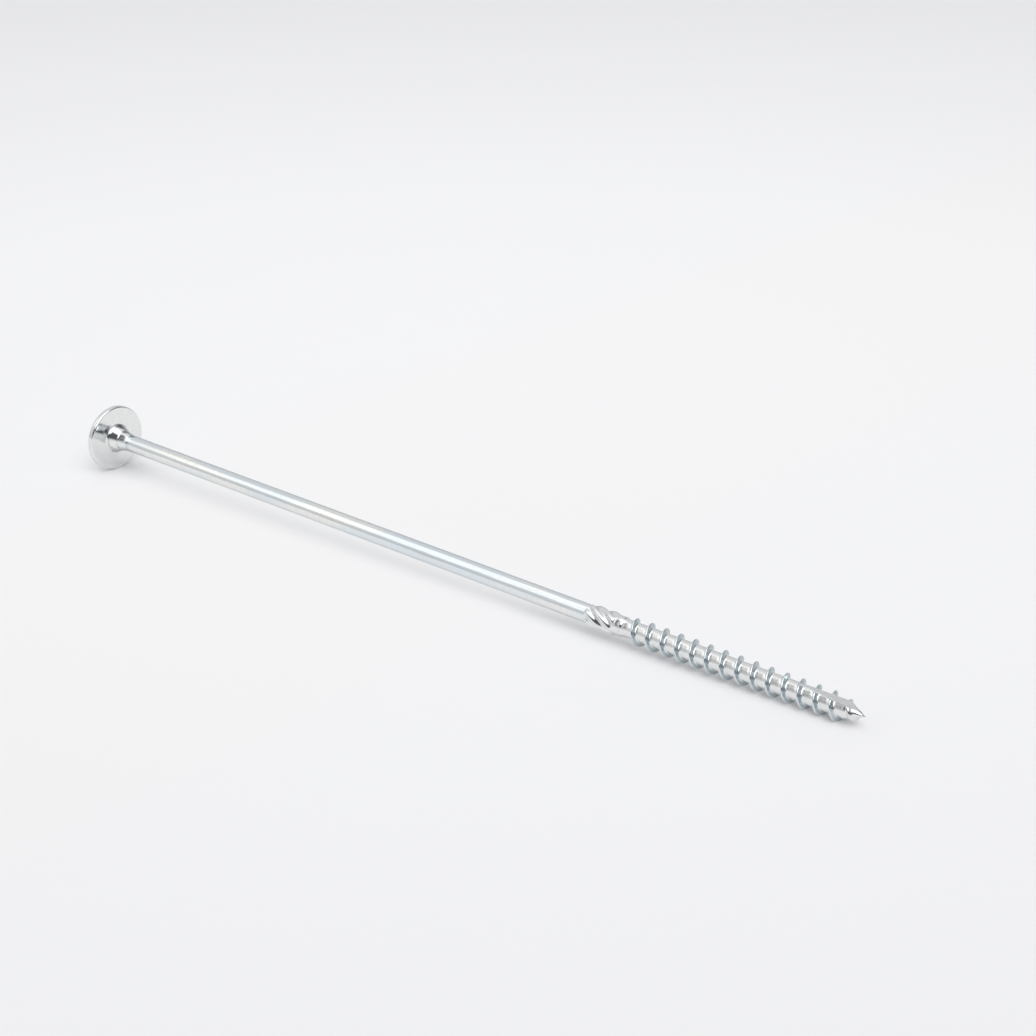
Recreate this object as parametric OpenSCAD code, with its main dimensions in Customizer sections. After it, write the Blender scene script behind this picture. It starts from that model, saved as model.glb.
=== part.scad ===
// Washer-head wood construction screw, forged and rolled as one piece of zinc plated steel.
// It lies on its side as it comes to rest: the rim of the head, the last full turn of the thread
// and the turn after it touch z = 0, and the shank runs along +X from the head to the point.

/* [Screw] */
// Length from the crown of the head to the point
screw_l = 300; // [220:5:360]
// Diameter of the smooth shank
shank_d = 5.55; // [5:0.05:6]

/* [Head] */
// Diameter of the washer head
head_d = 22; // [19:0.5:26]
// Thickness of the flange, from its front face to its underside
flange_t = 2.35; // [2:0.05:4]
// Height of the crown above the front face of the flange
crown_h = 1.25; // [0.8:0.05:2]
// Diameter of the crown at its foot
crown_d = 15.2; // [12:0.1:16]
// Diameter of the flat land round the mouth of the drive recess
land_d = 8.2; // [7.8:0.1:9.5]
// Rounding at the front edge of the rim
rim_front_r = 0.85; // [0.3:0.05:1]
// Rounding at the rear edge of the rim
rim_rear_r = 0.55; // [0.2:0.05:0.8]
// Fillet between the underside and the neck
neck_fillet_r = 0.9; // [0.4:0.1:1.5]
// Diameter of the neck where it leaves the underside
neck_d = 9; // [7:0.1:12]
// Diameter of the neck at its narrow end
neck_end_d = 6.6; // [6.1:0.1:6.8]
// Length of the tapered neck
neck_l = 3.8; // [2.5:0.1:6]
// Length of the straight step behind the tapered neck
neck_step_l = 0.6; // [0.2:0.1:2]
// Length of the slim cone from the step to the shank
neck_cone_l = 2.9; // [1:0.1:6]

/* [Drive recess] */
// Width across opposite lobes of the six-lobe recess
drive_lobes_w = 6.75; // [6.5:0.05:7]
// Width across opposite valleys of the recess
drive_valleys_w = 4.85; // [4.65:0.05:5]
// Radius at the end of each lobe
drive_lobe_r = 0.55; // [0.48:0.01:0.6]
// Depth of the recess walls, from the crown
drive_h = 4.2; // [3.5:0.1:5]
// Depth of the cone at the bottom of the recess
drive_cone_h = 1; // [0.5:0.1:1.2]
// Height of the chamfer at the mouth
drive_chamfer = 0.25; // [0.1:0.05:0.35]

/* [Cutter] */
// Length of the milling ribs between the shank and the collar
cutter_l = 10.4; // [6:0.1:14]
// Diameter over the milling ribs
cutter_d = 6.6; // [6.3:0.1:7]
// Diameter in the grooves between the ribs
cutter_root_d = 5.2; // [4.8:0.1:5.4]
// Number of milling ribs
cutter_ribs = 6; // [4:1:8]
// Axial length of one whole turn of a rib
cutter_lead = 30; // [20:1:40]
// Angle of the ribs round the axis
cutter_turn = 8.5; // [-30:0.5:30]
// Diameter of the plain collar between the ribs and the thread
collar_d = 5.8; // [5.5:0.1:6.2]
// Length of the collar
collar_l = 3; // [1:0.5:6]

/* [Thread] */
// Length of the thread, with the point
thread_l = 78.5; // [50:0.5:120]
// Outer diameter of the thread
thread_d = 7.8; // [7.2:0.1:8.4]
// Diameter of the core that carries the thread
core_d = 5.2; // [4.8:0.1:5.4]
// Axial distance between turns
pitch = 5; // [4:0.25:6]
// Width of the ridge at the core
ridge_root_w = 1.6; // [1:0.1:2.2]
// Width of the ridge at its crest
ridge_crest_w = 0.4; // [0.2:0.05:0.7]
// Distance from the point to the crest that faces straight down on the last full turn
last_crest_x = 12.65; // [11.5:0.05:16]

/* [Point] */
// Length of the conical point
point_l = 5.5; // [4:0.1:8]
// Length of the cut notch, measured back from the point
notch_l = 25; // [12:0.5:40]
// Included angle of the V-shaped notch
notch_angle = 108; // [70:1:120]
// Angle of the notch round the axis, from the top towards the -Y side
notch_turn = 11; // [-45:1:45]
// Distance of the notch bottom from the axis, at the point
notch_tip_r = 0.7; // [0.5:0.05:1.2]
// Slope of the notch bottom against the axis
notch_slope = 5.2; // [3:0.1:7]

/* [Hidden] */
$fn = 64;

// Stations along the axis, from the crown of the head to the point
rim_front_x = crown_h;
rim_rear_x = crown_h + flange_t;
neck_end_x = rim_rear_x + neck_l;
thread_start_x = screw_l - thread_l;
collar_start_x = thread_start_x - collar_l;
cutter_start_x = collar_start_x - cutter_l;

// Resting attitude: the screw tips about Y until the rim and the last full crest share a floor
rest_crest_x = screw_l - last_crest_x;
rest_rim_x = rim_rear_x - rim_rear_r;
rest_run = rest_crest_x - rest_rim_x;
rest_drop = head_d / 2 - rim_rear_r - thread_d / 2;
lie_tilt = atan2(rest_drop, rest_run) + asin(rim_rear_r / norm([rest_run, rest_drop]));
rest_lift = (head_d / 2 - rim_rear_r) * cos(lie_tilt) + rim_rear_r + rest_rim_x * sin(lie_tilt);
rest_shift = (screw_l * cos(lie_tilt) - land_d / 2 * sin(lie_tilt)) / 2;

// Six-lobe outline: lobe arcs, and valley arcs whose radius makes them tangent to the lobes
lobe_steps = 5;
valley_steps = 6;
lobe_c = drive_lobes_w / 2 - drive_lobe_r;
valley_half = drive_valleys_w / 2;
valley_r = (pow(drive_lobe_r, 2) + 2 * lobe_c * cos(30) * valley_half - pow(valley_half, 2)
    - pow(lobe_c, 2)) / (2 * (valley_half - drive_lobe_r - lobe_c * cos(30)));
valley_c = valley_half + valley_r;
lobe_span = atan2(valley_c * sin(30), valley_c * cos(30) - lobe_c);
mouth_r = drive_lobes_w / 2 + drive_chamfer;

// Steps of the rolled forms
turn_steps = 24;
rib_steps = 8;
cutter_rings = 13;
arc_steps = 5;

// Run-in and run-out of the thread ridge, and where its foot hides in the collar
ridge_run_in = 3.2;
ridge_run_out = 5.6;
ridge_last_r = 2;
ridge_sink = 0.8;
thread_end_x = screw_l - 1.9;
buried_r = core_d / 2 - 0.6;
buried_x = collar_start_x + collar_l / 4;
rib_overlap = 0.25;
collar_edge = (collar_d - core_d) / 4;

// Start of the run-out, from which the crest one turn after the last full one just meets the floor
floor_drop = pitch * tan(lie_tilt);
run_out_slope = (thread_d / 2 - ridge_last_r) / ridge_run_out;
run_out_x = rest_crest_x + pitch * (1 - 0.5 / turn_steps) - floor_drop / run_out_slope;

// Direction in the plane across the axis
function dir(a) = [cos(a), sin(a)];

// Points of an arc round a centre, from one angle to another
function arc(c, r, a0, a1, n) = [for (i = [0:n]) c + r * dir(a0 + (a1 - a0) * i / n)];

// Faces of a closed skin over rings of n points each
function skin_faces(rings, n) = concat(
    [[for (i = [0:n - 1]) i]],
    [for (k = [0:rings - 2], i = [0:n - 1], half = [0, 1])
        let (a = k * n + i, b = k * n + (i + 1) % n)
        half == 0 ? [a, a + n, b] : [b, a + n, b + n]],
    [[for (i = [n - 1:-1:0]) (rings - 1) * n + i]]
);

// Radius of the core at a station
function core_r(x) = x < buried_x ? buried_r : core_d / 2 * min(1, (screw_l - x) / point_l);

// Station of the middle of the land behind a ridge, drawn in where the point is near
function land_x(x) = min(x + pitch / 2, (x + ridge_root_w / 2 + screw_l) / 2);

// Smooth step from 0 to 1
function ease(t) = let (s = min(1, max(0, t))) s * s * (3 - 2 * s);

// Radius of the ridge crest at a station: it rises out of the core, and runs out on the point
function crest_r(x) = let (
        run_in = ease((x - thread_start_x - ridge_root_w / 2) / ridge_run_in),
        sink = ease((x - thread_end_x + ridge_sink) / ridge_sink),
        top_r = thread_d / 2 - run_out_slope * max(0, x - run_out_x))
    core_r(x) + (top_r - core_r(x)) * run_in * (1 - sink);

// Half of the outline from the crown to the point, as [radius, station]
profile = concat(
    [[0, 0], [land_d / 2, 0]],
    [for (i = [1:arc_steps + 1]) let (t = i / (arc_steps + 1))
        [land_d / 2 + (crown_d - land_d) / 2 * t, crown_h * (0.35 * t + 0.65 * t * t)]],
    arc([head_d / 2 - rim_front_r, rim_front_x + rim_front_r], rim_front_r, -90, 0, arc_steps),
    arc([head_d / 2 - rim_rear_r, rest_rim_x], rim_rear_r, 0, 90, arc_steps),
    [[neck_d / 2 + neck_fillet_r, rim_rear_x]],
    [for (i = [1:arc_steps]) let (t = i / arc_steps)
        [neck_d / 2 + neck_fillet_r * pow(1 - t, 2), rim_rear_x + neck_fillet_r * t * t]],
    [[neck_end_d / 2, neck_end_x],
    [neck_end_d / 2, neck_end_x + neck_step_l],
    [shank_d / 2, neck_end_x + neck_step_l + neck_cone_l],
    [shank_d / 2, cutter_start_x],
    [cutter_root_d / 2 - rib_overlap, cutter_start_x],
    [cutter_root_d / 2 - rib_overlap, collar_start_x],
    [collar_d / 2, collar_start_x],
    [collar_d / 2, thread_start_x - collar_edge],
    [collar_d / 2 - collar_edge, thread_start_x],
    [0, thread_start_x]]
);

// Head, neck, shank and collar in one revolved form, with its seam on top
module blank() {
    rotate([0, 0, 180]) rotate_extrude() polygon(profile);
}

// Six-lobe outline of the drive recess
module drive_outline() {
    polygon([for (k = [0:60:300]) each concat(
        arc(lobe_c * dir(k), drive_lobe_r, k - lobe_span, k + lobe_span, lobe_steps),
        [for (i = [1:valley_steps - 1])
            let (a = k + lobe_span + 180 + (60 - 2 * lobe_span) * i / valley_steps)
            valley_c * dir(k + 30) + valley_r * dir(a)])]);
}

// Drive recess with its conical floor and the chamfer at its mouth
module drive_recess() {
    intersection() {
        translate([0, 0, -1]) linear_extrude(drive_h + drive_cone_h + 2) drive_outline();
        rotate_extrude() polygon([[0, -0.5], [drive_lobes_w, -0.5], [drive_lobes_w, drive_h],
            [drive_lobes_w / 2, drive_h], [0, drive_h + drive_cone_h]]);
    }
    rotate_extrude() polygon([[0, -drive_chamfer], [mouth_r + drive_chamfer, -drive_chamfer],
        [0, mouth_r]]);
}

// Helical milling ribs in front of the collar, which rise and sink at both ends
module cutter() {
    n = cutter_ribs * rib_steps;
    function rib_r(k, i) = let (
            wave = pow(0.5 + 0.5 * cos(360 * i / rib_steps), 0.8),
            s = ease(k / 2.5) * ease(cutter_rings - 1 - k))
        cutter_root_d / 2 + ((cutter_d - cutter_root_d) * wave / 2) * s;
    function rib_x(k) = cutter_start_x - rib_overlap
        + (cutter_l + 2 * rib_overlap) * k / (cutter_rings - 1);
    points = [for (k = [0:cutter_rings - 1], i = [0:n - 1])
        let (p = rib_r(k, i) * dir(360 * i / n + cutter_turn + 360 * rib_x(k) / cutter_lead))
        [p[0], p[1], rib_x(k)]];
    polyhedron(points, skin_faces(cutter_rings, n));
}

// Coarse right-hand thread with its core and point: one skin wound along a helix, whose section
// runs over one ridge and half the land behind it. Its first turns hide inside the collar, and
// its corners lie half a step to each side of the line on which the screw rests.
module thread() {
    first = -ceil((rest_crest_x - collar_start_x + pitch) / pitch * turn_steps);
    last = floor((thread_end_x - rest_crest_x) / pitch * turn_steps);
    n = last - first;
    function at(k, j) = k * 5 + j;
    function section(x) = [
        [core_r(x - ridge_root_w / 2), x - ridge_root_w / 2],
        [crest_r(x), x - ridge_crest_w / 2],
        [crest_r(x), x + ridge_crest_w / 2],
        [core_r(x + ridge_root_w / 2), x + ridge_root_w / 2],
        [core_r(land_x(x)), land_x(x)]];
    points = concat(
        [for (k = [first:last], s = section(rest_crest_x + pitch * (k + 0.5) / turn_steps))
            let (p = s[0] * dir(360 * (k + 0.5) / turn_steps))
            [p[0], p[1], s[1]]],
        [[0, 0, collar_start_x - 2 * pitch], [0, 0, screw_l]]);
    start_tip = at(n + 1, 0);
    end_tip = start_tip + 1;
    function quad(a, up, b, c) = [[a, up, b], [b, up, c]];
    faces = concat(
        [for (k = [0:n - 1], j = [0:3])
            each quad(at(k, j), at(k, j + 1), at(k + 1, j), at(k + 1, j + 1))],
        [for (k = [0:n - 1 - turn_steps])
            each quad(at(k, 4), at(k + turn_steps, 0), at(k + 1, 4), at(k + 1 + turn_steps, 0))],
        [for (k = [0:turn_steps - 1]) [start_tip, at(k, 0), at(k + 1, 0)]],
        [for (j = [0:3]) [start_tip, at(0, j + 1), at(0, j)]],
        [[start_tip, at(turn_steps, 0), at(0, 4)]],
        [for (k = [n - turn_steps:n - 1]) [end_tip, at(k + 1, 4), at(k, 4)]],
        [for (j = [0:3]) [end_tip, at(n, j), at(n, j + 1)]],
        [[end_tip, at(n - turn_steps, 4), at(n, 0)]]);
    polyhedron(points, faces);
}

// V-shaped notch along the last turns, which clears chips and starts the hole
module notch() {
    half_w = thread_d * tan(notch_angle / 2);
    rotate([0, 0, 180 + notch_turn]) translate([notch_tip_r, 0, screw_l])
        rotate([0, notch_slope, 0]) translate([0, 0, -notch_l]) linear_extrude(notch_l + 2)
            polygon([[0, 0], [thread_d, half_w], [thread_d, -half_w]]);
}

// The whole screw along +Z, from the crown at z = 0 to the point
module screw_upright() {
    difference() {
        union() {
            blank();
            cutter();
            thread();
        }
        drive_recess();
        notch();
    }
}

module screw() {
    color([0.80, 0.82, 0.83])
        translate([-rest_shift, 0, rest_lift]) rotate([0, 90 + lie_tilt, 0]) screw_upright();
}

screw();
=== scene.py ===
import math

import bpy
import numpy as np
from mathutils import Matrix, Vector


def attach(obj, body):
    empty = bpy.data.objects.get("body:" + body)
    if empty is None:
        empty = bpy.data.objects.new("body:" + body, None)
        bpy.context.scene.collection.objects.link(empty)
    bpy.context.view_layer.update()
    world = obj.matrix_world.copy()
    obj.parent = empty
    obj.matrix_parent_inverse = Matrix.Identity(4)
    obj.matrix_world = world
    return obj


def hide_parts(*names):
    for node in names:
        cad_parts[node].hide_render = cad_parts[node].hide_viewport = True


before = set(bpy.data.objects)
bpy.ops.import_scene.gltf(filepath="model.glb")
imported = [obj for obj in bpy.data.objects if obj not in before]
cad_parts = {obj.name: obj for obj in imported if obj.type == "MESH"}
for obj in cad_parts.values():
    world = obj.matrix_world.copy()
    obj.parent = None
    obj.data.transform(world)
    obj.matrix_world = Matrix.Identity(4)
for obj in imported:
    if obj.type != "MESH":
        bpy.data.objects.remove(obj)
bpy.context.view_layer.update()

# Sizes of the screw in millimetres, as in the part
SCREW_L = 300.0
SHANK_D = 5.55
HEAD_D = 22.0
FLANGE_T = 2.35
CROWN_H = 1.25
CROWN_D = 15.2
LAND_D = 8.2
RIM_FRONT_R = 0.85
RIM_REAR_R = 0.55
NECK_FILLET_R = 0.9
NECK_D = 9.0
NECK_END_D = 6.6
NECK_L = 3.8
NECK_STEP_L = 0.6
NECK_CONE_L = 2.9
DRIVE_LOBES_W = 6.75
DRIVE_VALLEYS_W = 4.85
DRIVE_LOBE_R = 0.55
DRIVE_H = 4.2
DRIVE_CONE_H = 1.0
CUTTER_L = 10.4
CUTTER_D = 6.6
CUTTER_ROOT_D = 5.2
CUTTER_RIBS = 6
CUTTER_LEAD = 30.0
CUTTER_TURN = 8.5
COLLAR_D = 5.8
COLLAR_L = 3.0
THREAD_L = 78.5
THREAD_D = 7.8
CORE_D = 5.2
PITCH = 5.0
LAST_CREST_X = 12.65
POINT_L = 5.5
NOTCH_L = 25.0
NOTCH_ANGLE = 108.0
NOTCH_TURN = 11.0
NOTCH_TIP_R = 0.7
NOTCH_SLOPE = 5.2

# Stations along the axis, from the crown of the head
REAR_X = CROWN_H + FLANGE_T
NECK_END_X = REAR_X + NECK_L
STEP_END_X = NECK_END_X + NECK_STEP_L
SHANK_START_X = STEP_END_X + NECK_CONE_L
THREAD_START_X = SCREW_L - THREAD_L
COLLAR_START_X = THREAD_START_X - COLLAR_L
CUTTER_START_X = COLLAR_START_X - CUTTER_L
REST_CREST_X = SCREW_L - LAST_CREST_X

# How the screw lies: rim and last full crest on the floor
REST_RIM_X = REAR_X - RIM_REAR_R
REST_RUN = REST_CREST_X - REST_RIM_X
REST_DROP = HEAD_D / 2 - RIM_REAR_R - THREAD_D / 2
TILT = math.atan2(REST_DROP, REST_RUN) + math.asin(RIM_REAR_R / math.hypot(REST_RUN, REST_DROP))
LIFT = (HEAD_D / 2 - RIM_REAR_R) * math.cos(TILT) + RIM_REAR_R + REST_RIM_X * math.sin(TILT)
SHIFT = (SCREW_L * math.cos(TILT) - LAND_D / 2 * math.sin(TILT)) / 2

# Camera: its place in millimetres in the frame, and its turn, pitch and roll in radians
CAMERA_AT = (404.4, -441.3, 266.1)
CAMERA_TURN = 0.7011
CAMERA_PITCH = 0.3904
CAMERA_ROLL = -0.003
CAMERA_F = 2169.0
PHOTO_W = 1036.0
SENSOR = 36.0

# Zinc colours, and painted shade for the thread flanks and the drive recess
SILVER_ZINC = (0.84, 0.845, 0.835)
BLUE_ZINC = (0.77, 0.825, 0.86)
STRAW_ZINC = (0.87, 0.87, 0.84)
DULL_ZINC = (0.75, 0.77, 0.78)
# Painted shade on the thread flanks, with a blue zinc tint
FLANK_SHADE = (0.53, 0.61, 0.64)
FACE_ZINC = (0.76, 0.79, 0.83)
# Painted shade in the drive recess
RECESS_SHADE = (0.30, 0.32, 0.34)
EDGE_TINT = (0.74, 0.76, 0.77)

# Floor: painted light falloff, brightest at one place and a little dimmer far from it; and a painted glow of its
# own, strongest from the head along the shank, lower at the head's contact and under the thread, which fades the
# screw's shadow there; where it glows its colour is darker, so it looks as bright as elsewhere
FLOOR_BRIGHTEST = (-0.11, 0.17, 0.0)
FLOOR_PLAIN = (0.895, 0.892, 0.903)
FLOOR_GLOW_BASE = (0.358, 0.356, 0.359)
FLOOR_GLOW = 0.55
FLOOR_FALLOFF_DIM = 0.86

# Studio surround: room colours, then the patches as (corner directions, soft edge, colour)
ROOM_LOW = (0.60, 0.61, 0.62)
ROOM_HIGH = (0.76, 0.77, 0.785)
PATCHES = (
    (((-0.16, -0.40, 0.90), (-0.02, -0.46, 0.89), (0.33, -0.65, 0.67), (0.62, -0.68, 0.40), (0.62, -0.77, 0.15),
      (-0.16, -0.97, 0.17)), 0.025, (0.09, 0.095, 0.11)),
    (((-0.40, -0.05, 0.915), (-0.30, -0.08, 0.95), (-0.30, -0.94, 0.17), (-0.40, -0.90, 0.17)),
     0.02, (0.08, 0.085, 0.10)),
    (((0.37, -0.93, -0.02), (0.35, -0.87, 0.34), (0.86, -0.36, 0.36), (0.72, 0.62, 0.30), (0.76, 0.65, -0.02)),
     0.02, (0.03, 0.04, 0.06)),
    (((0.78, 0.42, 0.30), (0.60, 0.30, 0.74), (-0.02, 0.66, 0.75), (-0.02, 0.97, 0.24)),
     0.03, (0.14, 0.15, 0.17)),
    (((-0.46, 0.50, 0.73), (-0.46, 0.05, 0.887), (-0.46, -0.35, 0.816), (-0.46, -0.66, 0.594),
      (-0.73, -0.60, 0.36), (-0.73, -0.35, 0.59)), 0.025, (1.25, 1.25, 1.23)),
    (((-0.36, 0.30, 0.88), (-0.36, -0.14, 0.91), (0.33, -0.63, 0.69), (0.70, -0.62, 0.36), (0.72, 0.10, 0.68)),
     0.04, (1.65, 1.65, 1.65)),
    (((0.20, -0.45, 0.87), (0.33, -0.63, 0.69), (0.70, -0.62, 0.36), (0.72, -0.20, 0.66), (0.40, -0.15, 0.90)),
     0.04, (4.1, 4.1, 4.1)),
)

MM = 0.001
COLUMNS = 180
LOBE_WARP = 0.45


def ease(t):
    """Smooth step from 0 to 1."""
    t = np.clip(t, 0.0, 1.0)
    return t * t * (3 - 2 * t)


def to_frame(r, angle, x):
    """Points at a radius, an angle from straight down and a station, in metres in the frame."""
    down, side = r * np.cos(angle), r * np.sin(angle)
    c, s = math.cos(TILT), math.sin(TILT)
    return np.stack([x * c - down * s - SHIFT, side, LIFT - x * s - down * c], -1) * MM


def column_angles():
    """Angles of the columns of the skin, closer together at the six lobes of the recess."""
    even = np.arange(COLUMNS) * 2 * math.pi / COLUMNS
    return even - LOBE_WARP * np.sin(6 * even) / 6


ANGLES = column_angles()


class Skin:
    """Collects the points and faces of one closed skin."""

    def __init__(self):
        self.points = []
        self.faces = []

    def add(self, r, angle, x):
        """Adds points and returns their indices."""
        r, angle, x = np.broadcast_arrays(np.asarray(r, float), angle, x)
        first = len(self.points)
        self.points.extend(to_frame(r, angle, x).reshape(-1, 3).tolist())
        return np.arange(first, first + r.size)

    def ring(self, r, x):
        """Adds one ring over all columns."""
        return self.add(np.broadcast_to(r, COLUMNS), ANGLES, np.broadcast_to(x, COLUMNS))

    def join(self, a, b):
        """Faces between two rings."""
        a2, b2 = np.roll(a, -1), np.roll(b, -1)
        self.faces.extend(zip(a.tolist(), a2.tolist(), b2.tolist(), b.tolist()))

    def fan(self, tip, loop, closed=True):
        """Triangles from a point to a loop."""
        pairs = list(zip(loop, loop[1:]))
        if closed:
            pairs.append((loop[-1], loop[0]))
        self.faces.extend((int(tip), int(a), int(b)) for a, b in pairs)


def lobe_outline():
    """Radius of the six-lobe outline at each column."""
    lobe_c = DRIVE_LOBES_W / 2 - DRIVE_LOBE_R
    half = DRIVE_VALLEYS_W / 2
    c30 = math.cos(math.pi / 6)
    valley_r = (DRIVE_LOBE_R**2 + 2 * lobe_c * c30 * half - half**2 - lobe_c**2) / (
        2 * (half - DRIVE_LOBE_R - lobe_c * c30))
    valley_c = half + valley_r
    a = np.abs((ANGLES + math.pi / 6) % (math.pi / 3) - math.pi / 6)
    on_lobe = lobe_c * np.cos(a) + np.sqrt(np.maximum(DRIVE_LOBE_R**2 - (lobe_c * np.sin(a))**2, 0))
    b = math.pi / 6 - a
    on_valley = valley_c * np.cos(b) - np.sqrt(np.maximum(valley_r**2 - (valley_c * np.sin(b))**2, 0))
    touch = math.atan2(valley_c * math.sin(math.pi / 6), valley_c * c30 - lobe_c)
    limit = math.atan2(DRIVE_LOBE_R * math.sin(touch), lobe_c + DRIVE_LOBE_R * math.cos(touch))
    return np.where(a <= limit, on_lobe, on_valley)


def recess_rings():
    """Rings of the drive recess, from its floor up to the land round its mouth."""
    lobe = lobe_outline()
    rings = [(lobe * f * 0.98, DRIVE_H + DRIVE_CONE_H * (1 - f * lobe / (DRIVE_LOBES_W / 2)))
             for f in (0.12, 0.35, 0.6, 0.8, 0.9, 0.955)]
    floor = DRIVE_H + DRIVE_CONE_H * (1 - lobe / (DRIVE_LOBES_W / 2))
    rings += [(lobe * 0.977, floor - 0.06), (lobe * 0.983, floor - 0.2)]
    rings += [(lobe * (0.984 + 0.016 * f), floor * (1 - f) + 0.45 * f) for f in (0.25, 0.5, 0.75, 1)]
    rings += [(lobe + d, x) for d, x in ((0.0, 0.3), (0.02, 0.2), (0.07, 0.11), (0.15, 0.04), (0.26, 0.0))]
    for f in (0.25, 0.6, 1.0):
        rings.append(((lobe + 0.26) * (1 - f) + LAND_D / 2 * f, 0.0))
    return rings


def arc(r, x, radius, a0, a1, n):
    """Points [radius, station] on an arc."""
    a = np.radians(np.linspace(a0, a1, n + 1))
    return [(r + radius * math.cos(t), x + radius * math.sin(t)) for t in a]


def head_profile():
    """Outline from the land round the recess to the start of the shank, as (radius, station)."""
    land, crown = LAND_D / 2, CROWN_D / 2
    out = [(land + (crown - land) * t, CROWN_H * (0.2 * t + 0.8 * t * t))
           for t in (0.04, 0.1, 0.2, 0.35, 0.5, 0.65, 0.8, 0.9, 0.96)]
    out += [(crown + d, CROWN_H - h) for d, h in ((-0.03, 0.035), (0.06, 0.008), (0.2, 0.0))]
    face = HEAD_D / 2 - RIM_FRONT_R
    out += [(crown + 0.2 + (face - crown - 0.2) * t, CROWN_H) for t in (0.35, 0.7, 0.95)]
    out += arc(face, CROWN_H + RIM_FRONT_R, RIM_FRONT_R, -90, 0, 9)
    out += [(HEAD_D / 2, CROWN_H + RIM_FRONT_R + 0.06), (HEAD_D / 2, REST_RIM_X - 0.06)]
    out += arc(HEAD_D / 2 - RIM_REAR_R, REST_RIM_X, RIM_REAR_R, 0, 90, 7)
    foot = NECK_D / 2 + NECK_FILLET_R
    under = HEAD_D / 2 - RIM_REAR_R
    out += [(under + (foot - under) * t, REAR_X) for t in (0.04, 0.3, 0.6, 0.9)]
    out += [(foot - NECK_FILLET_R * (1 - (1 - t)**2), REAR_X + NECK_FILLET_R * t * t)
            for t in np.linspace(0, 1, 9)]
    top = REAR_X + NECK_FILLET_R
    out += [(NECK_D / 2 + (NECK_END_D - NECK_D) / 2 * t, top + (NECK_END_X - top) * t)
            for t in (0.08, 0.3, 0.6, 0.85, 0.95)]
    out += [(NECK_END_D / 2 + d, NECK_END_X + x) for d, x in ((0.09, 0.0), (0.06, 0.1), (0.02, 0.3))]
    step = (NECK_END_D - SHANK_D) / 2 - 0.03
    out += [(SHANK_D / 2 + step * (1 - t)**1.25, STEP_END_X + NECK_CONE_L * t)
            for t in (0.0, 0.2, 0.4, 0.6, 0.8, 0.97)]
    out += [(SHANK_D / 2, SHANK_START_X + d) for d in (0.1, 0.6)]
    return out


def cutter_radius(x):
    """Radius of the milling ribs round one ring."""
    turn = ANGLES - 2 * math.pi * x / CUTTER_LEAD - math.radians(CUTTER_TURN)
    wave = (0.5 + 0.5 * np.cos(CUTTER_RIBS * turn))**0.8
    ribs = CUTTER_ROOT_D / 2 + (CUTTER_D - CUTTER_ROOT_D) / 2 * wave
    rise = ease((x - CUTTER_START_X) / 1.5)
    fall = ease((COLLAR_START_X - x) / 0.8)
    base = SHANK_D / 2 + (COLLAR_D - SHANK_D) / 2 * ease((x - CUTTER_START_X) / CUTTER_L)
    return base + (ribs - base) * rise * fall


def core_radius(x):
    """Radius of the core, which runs out in the conical point."""
    return CORE_D / 2 * np.clip((SCREW_L - x) / POINT_L, 0, 1)


# Section of the thread ridge: distance from its middle, and share of its full height
RIDGE = ((-1.0, 0.0), (-0.82, 0.03), (-0.68, 0.13), (-0.5, 0.42), (-0.34, 0.72), (-0.24, 0.9),
         (-0.14, 0.98), (0.0, 1.0), (0.14, 0.98), (0.24, 0.9), (0.34, 0.72), (0.5, 0.42),
         (0.68, 0.13), (0.82, 0.03), (1.0, 0.0))
LAND_STEPS = (1.7, 2.4, 3.1)
RIDGE_START_X = THREAD_START_X + 1.15
RIDGE_END_X = SCREW_L - 1.9
RUN_OUT_SLOPE = 0.34
RUN_OUT_X = REST_CREST_X + PITCH * (1 - TILT / RUN_OUT_SLOPE)


def ridge_height(x):
    """Height of the ridge over the core: quick rise at the start, run-out on the point."""
    full = THREAD_D / 2 - RUN_OUT_SLOPE * np.clip(x - RUN_OUT_X, 0, None)
    rise = 0.88 * ease((x - RIDGE_START_X) / 2.2) + 0.12 * ease((x - RIDGE_START_X - 1.5) / 7.0)
    sink = ease((RIDGE_END_X - x) / 0.8)
    return np.maximum(full - core_radius(x), 0) * rise * sink


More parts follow.
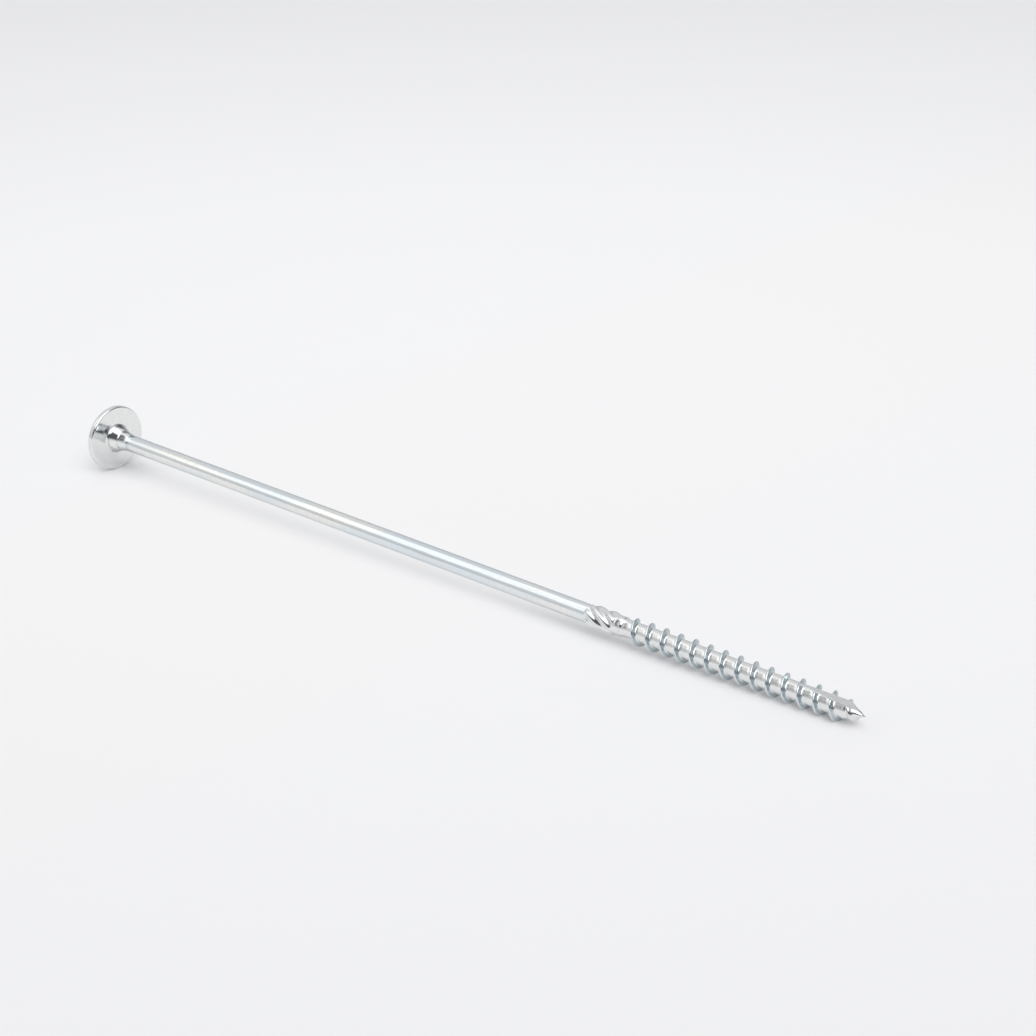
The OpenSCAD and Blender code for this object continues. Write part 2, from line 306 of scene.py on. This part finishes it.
def add_thread(skin, last_ring):
    """Winds the threaded skin on from the last plain ring and closes it at the point."""
    start_angle = 2 * math.pi * (RIDGE_START_X - REST_CREST_X) / PITCH
    first = int(np.searchsorted(ANGLES, start_angle % (2 * math.pi))) % COLUMNS
    turn0 = math.floor(start_angle / (2 * math.pi))
    total = int((RIDGE_END_X - RIDGE_START_X) / PITCH * COLUMNS)
    steps = first + np.arange(total + 1)
    angle = ANGLES[steps % COLUMNS] + 2 * math.pi * (turn0 + steps // COLUMNS)
    middle = REST_CREST_X + PITCH * angle / (2 * math.pi)
    height = ridge_height(middle)
    rows = []
    for d, share in RIDGE:
        x = middle + d
        rows.append(skin.add(core_radius(x) + height * share, angle, x))
    squeeze = np.clip((SCREW_L - 0.12 - middle - RIDGE[-1][0]) / (LAND_STEPS[-1] - 1.0 + 0.2), 0.02, 1)
    for d in LAND_STEPS:
        x = middle + RIDGE[-1][0] + (d - RIDGE[-1][0]) * squeeze
        rows.append(skin.add(core_radius(x), angle, x))
    grid = np.array(rows).T
    n = len(grid)
    for k in range(n - 1):
        a, b = grid[k], grid[k + 1]
        skin.faces.extend(zip(a[:-1].tolist(), b[:-1].tolist(), b[1:].tolist(), a[1:].tolist()))
        if k + COLUMNS + 1 < n:
            c, d = grid[k + COLUMNS, 0], grid[k + COLUMNS + 1, 0]
            skin.faces.append((int(a[-1]), int(b[-1]), int(d), int(c)))
    ring = np.roll(last_ring, -first)
    for k in range(COLUMNS - 1):
        skin.faces.append((int(ring[k]), int(ring[k + 1]), int(grid[k + 1, 0]), int(grid[k, 0])))
    closing = [ring[-1], ring[0]] + grid[0].tolist() + [grid[COLUMNS, 0], grid[COLUMNS - 1, 0]]
    skin.faces.append(tuple(int(v) for v in closing))
    tip = skin.add(0.0, 0.0, SCREW_L)[0]
    loop = grid[n - COLUMNS - 1:, -1].tolist() + grid[n - 1, -2::-1].tolist()
    skin.fan(tip, loop)


def screw_skin():
    """The whole screw as one closed skin, before the notch is cut."""
    skin = Skin()
    centre = skin.add(0.0, 0.0, DRIVE_H + DRIVE_CONE_H)[0]
    outline = recess_rings() + [(r, x) for r, x in head_profile()]
    stations = np.concatenate([np.linspace(SHANK_START_X + 4, CUTTER_START_X - 1, 24),
                               np.linspace(CUTTER_START_X - 0.2, COLLAR_START_X + 0.1, 46)])
    outline += [(cutter_radius(x) if x > CUTTER_START_X else SHANK_D / 2, x) for x in stations]
    edge = (COLLAR_D - CORE_D) / 2
    outline += [(COLLAR_D / 2, COLLAR_START_X + 0.4), (COLLAR_D / 2, THREAD_START_X - 2 * edge),
                (COLLAR_D / 2 - 0.05, THREAD_START_X - 1.5 * edge), (CORE_D / 2 + 0.05, THREAD_START_X - 0.5 * edge),
                (CORE_D / 2, THREAD_START_X)]
    rings = [skin.ring(r, x) for r, x in outline]
    skin.fan(centre, rings[0].tolist())
    for a, b in zip(rings, rings[1:]):
        skin.join(b, a)
    add_thread(skin, rings[-1])
    return skin


def mesh_object(name, points, faces):
    """A new object from points and faces, with its normals turned outwards."""
    mesh = bpy.data.meshes.new(name)
    mesh.from_pydata([tuple(p) for p in points], [], [tuple(f) for f in faces])
    mesh.validate()
    obj = bpy.data.objects.new(name, mesh)
    bpy.context.scene.collection.objects.link(obj)
    return obj


def face_outwards(obj):
    """Makes all faces of a closed mesh look outwards."""
    import bmesh
    bm = bmesh.new()
    bm.from_mesh(obj.data)
    bmesh.ops.recalc_face_normals(bm, faces=bm.faces[:])
    if bm.calc_volume(signed=True) < 0:
        bmesh.ops.reverse_faces(bm, faces=bm.faces[:])
    bm.to_mesh(obj.data)
    bm.free()


def notch_tool():
    """Wedge that cuts the V-shaped notch along the last turns."""
    half = THREAD_D * math.tan(math.radians(NOTCH_ANGLE / 2))
    slope = math.radians(NOTCH_SLOPE)
    around = math.radians(180 + NOTCH_TURN)
    points = []
    for along in (-NOTCH_L, 2.0):
        for out, across in ((0, 0), (THREAD_D, half), (THREAD_D, -half)):
            r = NOTCH_TIP_R + out * math.cos(slope) - along * math.sin(slope)
            x = SCREW_L + out * math.sin(slope) + along * math.cos(slope)
            down = r * math.cos(around) - across * math.sin(around)
            side = r * math.sin(around) + across * math.cos(around)
            points.append(to_frame(np.hypot(down, side), np.arctan2(side, down), np.float64(x)))
    faces = [(0, 1, 2), (5, 4, 3), (0, 3, 4, 1), (1, 4, 5, 2), (2, 5, 3, 0)]
    tool = mesh_object("notch_tool", points, faces)
    face_outwards(tool)
    return tool


def cut(obj, tool):
    """Subtracts the tool from the object and removes the tool."""
    mod = obj.modifiers.new("cut", "BOOLEAN")
    mod.operation = "DIFFERENCE"
    mod.solver = "MANIFOLD"
    mod.object = tool
    bpy.context.view_layer.update()
    dg = bpy.context.evaluated_depsgraph_get()
    result = bpy.data.meshes.new_from_object(obj.evaluated_get(dg))
    obj.modifiers.clear()
    obj.data = result
    bpy.data.objects.remove(tool)


def build_screw():
    """The screw as Blender shows it: one piece, smooth but for its real edges."""
    skin = screw_skin()
    obj = mesh_object("screw_body", skin.points, skin.faces)
    face_outwards(obj)
    cut(obj, notch_tool())
    obj.data.materials.clear()
    obj.data.materials.append(zinc_material())
    obj.data.shade_smooth()
    obj.data.set_sharp_from_angle(angle=math.radians(38))
    return obj


class Graph:
    """Short way to add shader nodes and link them."""

    def __init__(self, tree):
        self.nodes, self.links = tree.nodes, tree.links

    def put(self, socket, value):
        """Feeds a socket with another socket, or sets its constant."""
        if isinstance(value, bpy.types.NodeSocket):
            self.links.new(value, socket)
        elif hasattr(socket.default_value, "__len__") and len(socket.default_value) == 4 and len(value) == 3:
            socket.default_value = (*value, 1)
        else:
            socket.default_value = value

    def node(self, kind, out=0, inputs=(), **settings):
        """Adds a node with its settings and inputs, and returns one of its outputs."""
        node = self.nodes.new("ShaderNode" + kind)
        for key, value in settings.items():
            setattr(node, key, value)
        for key, value in dict(inputs).items():
            self.put(node.inputs[key], value)
        return node.outputs[out]

    def math(self, operation, a, b=0.0, clamp=False):
        return self.node("Math", inputs={0: a, 1: b}, operation=operation, use_clamp=clamp)

    def dot(self, a, b):
        return self.node("VectorMath", "Value", {0: a, 1: b}, operation="DOT_PRODUCT")

    def ramp(self, value, low, high, to_low=0.0, to_high=1.0):
        """Smooth change between two values."""
        return self.node("MapRange", inputs={0: value, 1: low, 2: high, 3: to_low, 4: to_high},
                         interpolation_type="SMOOTHSTEP")

    def mix(self, factor, a, b):
        """Blends two colours."""
        return self.node("Mix", 2, {0: factor, 6: a, 7: b}, data_type="RGBA")

    def noise(self, where, scale, detail=2.0, roughness=0.5):
        return self.node("TexNoise", inputs={"Vector": where, "Scale": scale, "Detail": detail,
                                             "Roughness": roughness})

    def stretch(self, where, scale):
        """Stretches coordinates by a factor per axis."""
        return self.node("VectorMath", inputs={0: where, 1: scale}, operation="MULTIPLY")


def zinc_material():
    """Bright zinc plating: silvery, faintly blue, with lines drawn along the shank, and painted shade on the thread
    flanks and in the drive recess.
    """
    mat = bpy.data.materials.new("zinc_plating")
    mat.use_nodes = True
    bsdf = mat.node_tree.nodes["Principled BSDF"]
    g = Graph(mat.node_tree)
    where = g.node("TexCoord", "Object")
    along = g.node("SeparateXYZ", "X", {0: where})
    shank = g.math("MULTIPLY", g.ramp(along, -0.1425, -0.138), g.ramp(along, 0.0575, 0.062, 1, 0))
    tint = g.noise(g.stretch(where, (18, 160, 160)), 1.0, 3)
    silver = g.mix(shank, SILVER_ZINC, g.mix(g.ramp(tint, 0.44, 0.6), BLUE_ZINC, STRAW_ZINC))
    cloud = g.noise(where, 900.0, 4)
    silver = g.mix(g.ramp(cloud, 0.35, 0.75, 0.0, 0.5), silver, DULL_ZINC)
    thread = g.ramp(along, 0.0700, 0.0725)
    above = g.math("SUBTRACT", g.dot(where, (math.sin(TILT), 0, math.cos(TILT))),
                   (LIFT * math.cos(TILT) - SHIFT * math.sin(TILT)) * MM)
    radius = g.math("SQRT", g.math("ADD", g.math("POWER", above, 2.0),
                                   g.math("POWER", g.dot(where, (0, 1, 0)), 2.0)))
    # Painted shade on the thread flanks: full mid-flank, fading towards the core and down to a light line at the
    # crest
    flank_shade_band = g.math("MULTIPLY", g.ramp(radius, 0.00265, 0.0030), g.ramp(radius, 0.0036, 0.0039, 1.0, 0.15))
    painted_flank_shade = g.math("MULTIPLY", thread, flank_shade_band)
    face = g.ramp(along, -0.1482, -0.1474, 1, 0)
    # Painted shade inside the drive recess
    recess = g.math("MULTIPLY", g.ramp(along, -0.1442, -0.1440, 1, 0), g.ramp(radius, 0.0033, 0.0035, 1, 0))
    silver = g.mix(recess, g.mix(face, silver, FACE_ZINC), RECESS_SHADE)
    lines = g.noise(g.stretch(where, (14, 2600, 2600)), 1.0, 3, 0.6)
    grain = g.noise(where, 2600.0, 3)
    line_share = g.math("MULTIPLY", g.ramp(lines, 0.3, 0.7, -0.5, 0.5), shank)
    rough = g.math("ADD", g.ramp(grain, 0.3, 0.75, 0.10, 0.18), g.math("MULTIPLY", line_share, 0.08))
    rough = g.math("ADD", rough, g.math("MULTIPLY", thread, 0.08))
    height = g.math("ADD", g.math("MULTIPLY", line_share, 1.0), g.math("MULTIPLY", grain, 0.35))
    bump = g.node("Bump", inputs={"Strength": 0.35, "Distance": 0.00002, "Height": height})
    g.put(bsdf.inputs["Metallic"], 1.0)
    g.put(bsdf.inputs["Specular Tint"], EDGE_TINT)
    g.put(bsdf.inputs["Base Color"], g.mix(painted_flank_shade, silver, FLANK_SHADE))
    g.put(bsdf.inputs["Roughness"], rough)
    g.put(bsdf.inputs["Normal"], bump)
    return mat


def build_floor():
    """Pale floor with a painted light falloff round one place, and a painted glow along the screw that fades its
    shadow.
    """
    size = 6.0
    floor = mesh_object("floor", [(-size, -size, 0), (size, -size, 0), (size, size, 0), (-size, size, 0)],
                        [(0, 1, 2, 3)])
    mat = bpy.data.materials.new("floor_pale")
    mat.use_nodes = True
    bsdf = mat.node_tree.nodes["Principled BSDF"]
    g = Graph(mat.node_tree)
    where = g.node("TexCoord", "Object")
    off = g.node("VectorMath", "Value", {0: where, 1: FLOOR_BRIGHTEST}, operation="DISTANCE")
    # Painted light falloff, a little dimmer far from the brightest place
    painted_falloff = g.ramp(off, 0.0, 1.1, 1.0, FLOOR_FALLOFF_DIM)
    x = g.node("SeparateXYZ", "X", {0: where})
    # Share of the painted glow: low at the head's contact, full along the shank, lower under the thread; the floor
    # colour darkens as it glows, so only the shadow fades
    share = g.math("MULTIPLY", g.ramp(x, -0.150, -0.125, 0.1, 1), g.ramp(x, 0.015, 0.07, 1, 0.27))
    color = g.mix(share, FLOOR_PLAIN, FLOOR_GLOW_BASE)
    g.put(bsdf.inputs["Base Color"], g.node("VectorMath", 0, {0: color, "Scale": painted_falloff}, operation="SCALE"))
    g.put(bsdf.inputs["Roughness"], 0.9)
    g.put(bsdf.inputs["Specular IOR Level"], 0.0)
    g.put(bsdf.inputs["Emission Color"], (1.0, 1.0, 1.008))
    g.put(bsdf.inputs["Emission Strength"], g.math("MULTIPLY", g.math("MULTIPLY", share, FLOOR_GLOW), painted_falloff))
    floor.data.materials.append(mat)
    return floor


def build_camera():
    """Camera at the photograph's place and angle."""
    data = bpy.data.cameras.new("camera")
    data.sensor_width = SENSOR
    data.lens = CAMERA_F * SENSOR / PHOTO_W
    data.clip_end = 50
    camera = bpy.data.objects.new("camera", data)
    camera.matrix_world = (Matrix.Translation(Vector(CAMERA_AT) * MM) @ Matrix.Rotation(CAMERA_TURN, 4, "Z")
                           @ Matrix.Rotation(math.pi / 2 - CAMERA_PITCH, 4, "X")
                           @ Matrix.Rotation(CAMERA_ROLL, 4, "Z"))
    bpy.context.scene.collection.objects.link(camera)
    bpy.context.scene.camera = camera


def soft_patch(g, ray, corners, edge):
    """Mask of a patch of the sky between corner directions, with soft edges."""
    corners = [Vector(c).normalized() for c in corners]
    middle = sum(corners, Vector())
    mask = 1.0
    for a, b in zip(corners, corners[1:] + corners[:1]):
        inward = a.cross(b).normalized()
        if inward.dot(middle) < 0:
            inward.negate()
        mask = g.math("MULTIPLY", mask, g.ramp(g.dot(ray, tuple(inward)), -edge, edge))
    return mask


def build_world():
    """Studio surround: grey-white room, soft boxes as bright patches, dark behind the camera."""
    world = bpy.data.worlds.new("studio")
    world.use_nodes = True
    g = Graph(world.node_tree)
    ray = g.node("TexCoord", "Generated")
    height = g.node("SeparateXYZ", "Z", {0: ray})
    color = g.mix(g.ramp(height, 0.0, 0.5), ROOM_LOW, ROOM_HIGH)
    for corners, edge, shade in PATCHES:
        color = g.mix(soft_patch(g, ray, corners, edge), color, shade)
    g.put(world.node_tree.nodes["Background"].inputs["Color"], color)
    bpy.context.scene.world = world


build_camera()
build_floor()
build_world()
screw = build_screw()
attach(screw, "root")
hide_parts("screw")

bpy.context.scene.view_settings.view_transform = "Standard"
